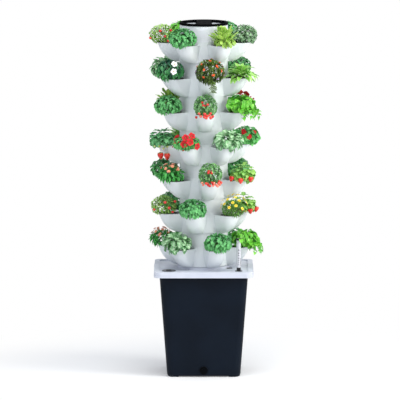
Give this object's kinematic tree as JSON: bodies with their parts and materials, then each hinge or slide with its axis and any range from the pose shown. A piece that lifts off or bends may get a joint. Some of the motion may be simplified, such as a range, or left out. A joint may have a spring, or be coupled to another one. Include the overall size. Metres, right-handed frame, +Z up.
{
  "type": "vertical planter tower",
  "caption": "Column of stacked planting tiers with scoop pockets on a square water tank; a hidden pump lifts water up a riser to the top.",
  "frame": {"origin": "on the floor, under the tower's upright axis", "axes": "+Z up along the column, +X to the right, front with the drain fitting towards -Y"},
  "size_m": [0.4089, 0.4023, 1.2761],
  "materials": {
    "tank_plastic": "moulded, faint sheen",
    "lid_plastic": "moulded, satin",
    "tier_plastic": "moulded, satin",
    "cover_plastic": "moulded, satin",
    "cap_plastic": "polished",
    "fitting_plastic": "moulded, glossy",
    "black_rubber": "matte",
    "pump_plastic": "moulded",
    "shaft_steel": "ground",
    "impeller_plastic": "moulded",
    "pipe_plastic": "extruded",
    "clear_acrylic": "polished",
    "gauge_red": "moulded",
    "float_foam": "fine closed cells",
    "tray_plastic": "moulded",
    "cup_plastic": "moulded",
    "sponge": "open cells, matte",
    "leaves": "leafy"
  },
  "bodies": {
    "reservoir": {"reservoir": "tank_plastic", "drain_fitting": "fitting_plastic", "drain_washer": "black_rubber", "drain_nut": "fitting_plastic", "pump_housing": "pump_plastic", "pump_feet": "black_rubber", "pump_cover": "pump_plastic", "impeller_shaft": "shaft_steel", "riser_pipe_lower": "pipe_plastic", "riser_coupling": "pipe_plastic", "riser_pipe_upper": "pipe_plastic", "spray_head": "pipe_plastic"},
    "drain_seal": {"drain_plug_ring": "black_rubber"},
    "drain_plug": {"drain_plug": "fitting_plastic"},
    "impeller": {"impeller": "impeller_plastic"},
    "lid": {"reservoir_lid": "lid_plastic", "gauge_base": "fitting_plastic", "gauge_tube": "clear_acrylic", "gauge_cap": "fitting_plastic", "cable_grommet": "black_rubber", "tier_7": "tier_plastic", "drip_tray_7": "tray_plastic", "net_cups_7": "cup_plastic", "sponge_plugs_7": "sponge", "plants_7": "leaves"},
    "gauge_float": {"gauge_rod": "gauge_red", "gauge_float": "float_foam"},
    "filler_cap": {"filler_cap": "fitting_plastic"},
    "top_cover": {"top_cover": "cover_plastic"},
    "top_cap": {"top_cap": "cap_plastic"},
    "tier_1": {"tier_1": "tier_plastic", "drip_tray_1": "tray_plastic", "net_cups_1": "cup_plastic", "sponge_plugs_1": "sponge", "plants_1": "leaves"},
    "tier_2": {"tier_2": "tier_plastic", "drip_tray_2": "tray_plastic", "net_cups_2": "cup_plastic", "sponge_plugs_2": "sponge", "plants_2": "leaves"},
    "tier_3": {"tier_3": "tier_plastic", "drip_tray_3": "tray_plastic", "net_cups_3": "cup_plastic", "sponge_plugs_3": "sponge", "plants_3": "leaves"},
    "tier_4": {"tier_4": "tier_plastic", "drip_tray_4": "tray_plastic", "net_cups_4": "cup_plastic", "sponge_plugs_4": "sponge", "plants_4": "leaves"},
    "tier_5": {"tier_5": "tier_plastic", "drip_tray_5": "tray_plastic", "net_cups_5": "cup_plastic", "sponge_plugs_5": "sponge", "plants_5": "leaves"},
    "tier_6": {"tier_6": "tier_plastic", "drip_tray_6": "tray_plastic", "net_cups_6": "cup_plastic", "sponge_plugs_6": "sponge", "plants_6": "leaves"}
  },
  "joints": [
    {"name": "drain_plug_travel", "type": "slide", "parent": "reservoir", "child": "drain_seal", "axis": [0, -1, 0], "range_m": [0, 0.012]},
    {"name": "drain_plug_turn", "type": "hinge", "parent": "drain_seal", "child": "drain_plug", "pos_m": [0, -0.135, 0.025], "axis": [0, -1, 0], "range_deg": [0, 1440]},
    {"name": "impeller_spin", "type": "hinge", "parent": "reservoir", "child": "impeller", "pos_m": [0, 0, 0.042], "axis": [0, 1, 0], "continuous": true},
    {"name": "lid_lift", "type": "slide", "parent": "reservoir", "child": "lid", "axis": [0, 0, 1], "range_m": [0, 0.055]},
    {"name": "gauge_float_rise", "type": "slide", "parent": "lid", "child": "gauge_float", "axis": [0, 0, 1], "range_m": [0, 0.078]},
    {"name": "filler_cap_lift", "type": "slide", "parent": "lid", "child": "filler_cap", "axis": [0, 0, 1], "range_m": [0, 0.022]},
    {"name": "tier_6_turn", "type": "hinge", "parent": "lid", "child": "tier_6", "pos_m": [0, 0, 0.5851], "axis": [0, 0, 1], "continuous": true},
    {"name": "tier_5_turn", "type": "hinge", "parent": "tier_6", "child": "tier_5", "pos_m": [0, 0, 0.7086], "axis": [0, 0, 1], "continuous": true},
    {"name": "tier_4_turn", "type": "hinge", "parent": "tier_5", "child": "tier_4", "pos_m": [0, 0, 0.8321], "axis": [0, 0, 1], "continuous": true},
    {"name": "tier_3_turn", "type": "hinge", "parent": "tier_4", "child": "tier_3", "pos_m": [0, 0, 0.9556], "axis": [0, 0, 1], "continuous": true},
    {"name": "tier_2_turn", "type": "hinge", "parent": "tier_3", "child": "tier_2", "pos_m": [0, 0, 1.0791], "axis": [0, 0, 1], "continuous": true},
    {"name": "tier_1_turn", "type": "hinge", "parent": "tier_2", "child": "tier_1", "pos_m": [0, 0, 1.2026], "axis": [0, 0, 1], "continuous": true},
    {"name": "top_cover_lift", "type": "slide", "parent": "tier_1", "child": "top_cover", "axis": [0, 0, 1], "range_m": [0, 0.05]},
    {"name": "top_cap_lift", "type": "slide", "parent": "top_cover", "child": "top_cap", "axis": [0, 0, 1], "range_m": [0, 0.05]}
  ],
  "couplings": [
    {"joint": "drain_plug_turn", "follows": "drain_plug_travel", "rad_per_m": 2094.4}
  ]
}
